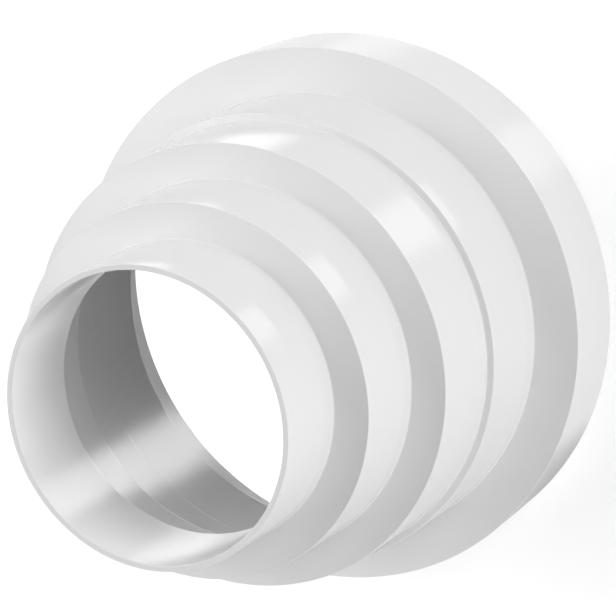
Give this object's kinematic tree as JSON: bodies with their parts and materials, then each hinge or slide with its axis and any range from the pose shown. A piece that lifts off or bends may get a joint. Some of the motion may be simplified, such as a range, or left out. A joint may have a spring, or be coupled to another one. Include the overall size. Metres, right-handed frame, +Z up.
{
  "type": "duct reducer",
  "caption": "Stepped round duct reducer in white plastic: coaxial spigots narrow from a 150 mm duct to an 80 mm one, joined by flat shoulders and open at both ends.",
  "frame": {"origin": "centre of the large rim's face, on the axis", "axes": "+Z up the axis from the large rim to the small mouth; X and Y are any two directions square to it, as the part is a body of revolution"},
  "size_m": [0.1494, 0.1494, 0.125],
  "materials": {
    "white_plastic": "satin white, smooth moulded surface"
  },
  "bodies": {
    "root": {"reducer": "white_plastic"}
  },
  "joints": []
}
